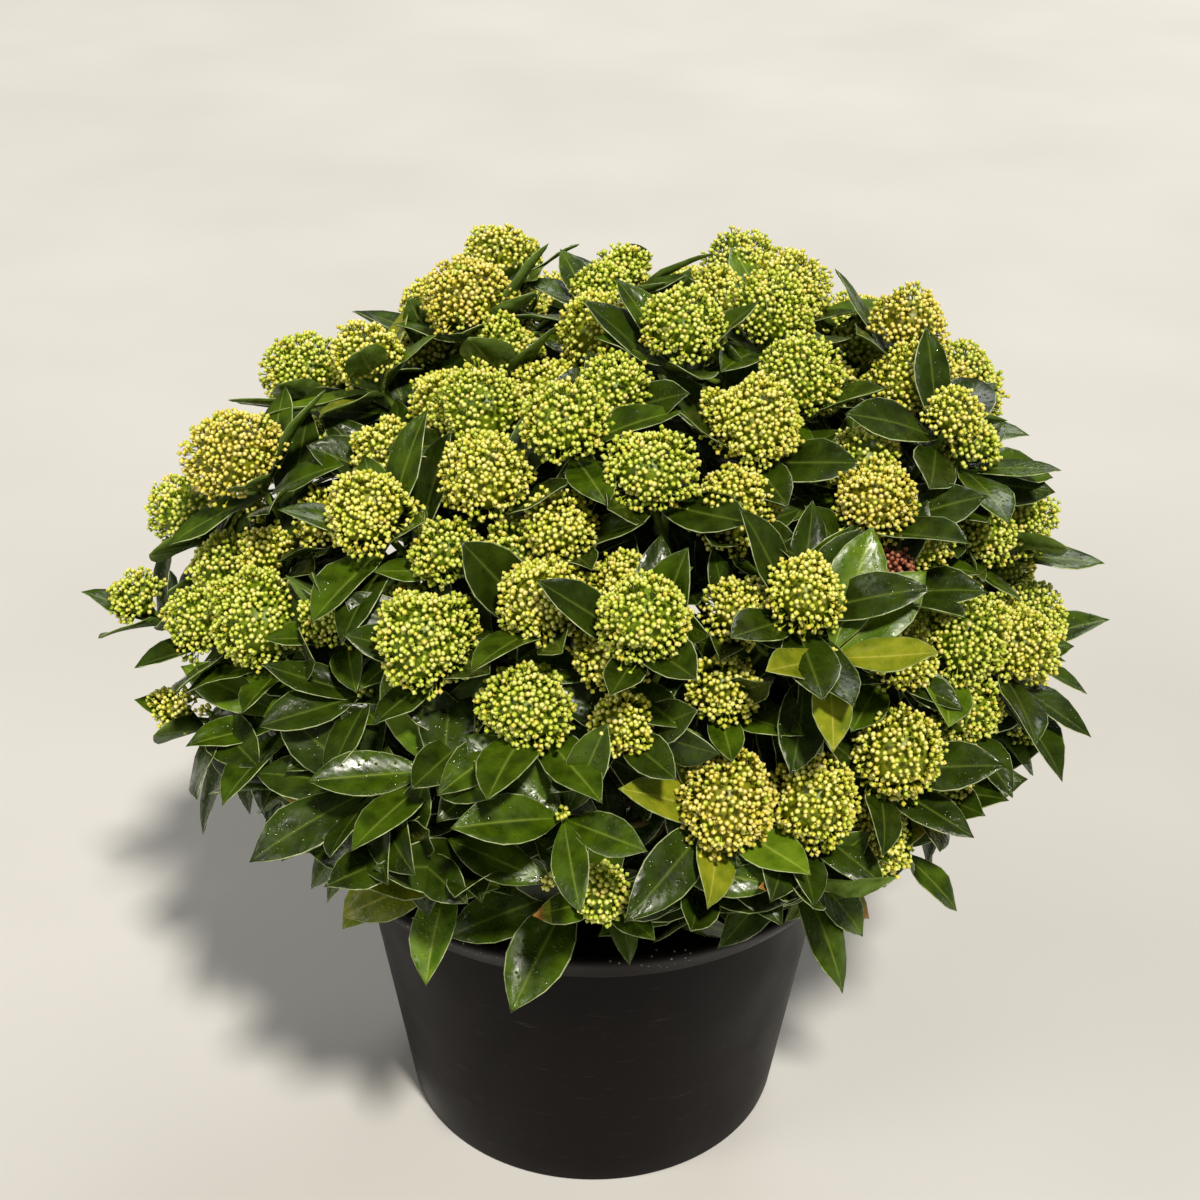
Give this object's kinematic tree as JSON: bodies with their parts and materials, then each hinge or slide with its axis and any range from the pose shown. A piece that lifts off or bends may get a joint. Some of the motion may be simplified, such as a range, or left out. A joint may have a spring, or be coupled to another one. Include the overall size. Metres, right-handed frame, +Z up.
{
  "type": "potted flowering shrub",
  "caption": "Domed evergreen skimmia shrub in full bud, with glossy pointed leaves under rounded yellow-green flower heads, growing in a round black pot.",
  "frame": {"origin": "middle of the pot's flat underside, on the pot's axis", "axes": "+Z up along the pot's axis; -Y towards the side the plant is looked at from; +X to the right of that view, the way the crown leans"},
  "size_m": [0.4857, 0.4609, 0.4739],
  "materials": {
    "pot_plastic": "satin",
    "soil": "matte",
    "bark": "matte",
    "green_bark": "matte",
    "foliage": "satin"
  },
  "bodies": {
    "root": {"pot": "pot_plastic", "potting_soil": "soil", "trunk": "bark", "leader": "bark", "bough_1": "bark", "bough_2": "bark", "bough_3": "bark", "bough_4": "bark", "bough_5": "bark", "bough_6": "bark", "bough_7": "bark", "branch_1": "green_bark", "branch_2": "green_bark", "branch_3": "green_bark", "branch_4": "green_bark", "branch_5": "green_bark", "foliage_low_1": "foliage", "foliage_low_2": "foliage", "foliage_low_3": "foliage", "foliage_low_4": "foliage", "foliage_low_5": "foliage", "foliage_low_6": "foliage", "foliage_low_7": "foliage", "foliage_high_1": "foliage", "foliage_high_2": "foliage", "foliage_high_3": "foliage", "foliage_high_4": "foliage", "foliage_high_5": "foliage", "foliage_top": "foliage"}
  },
  "joints": []
}
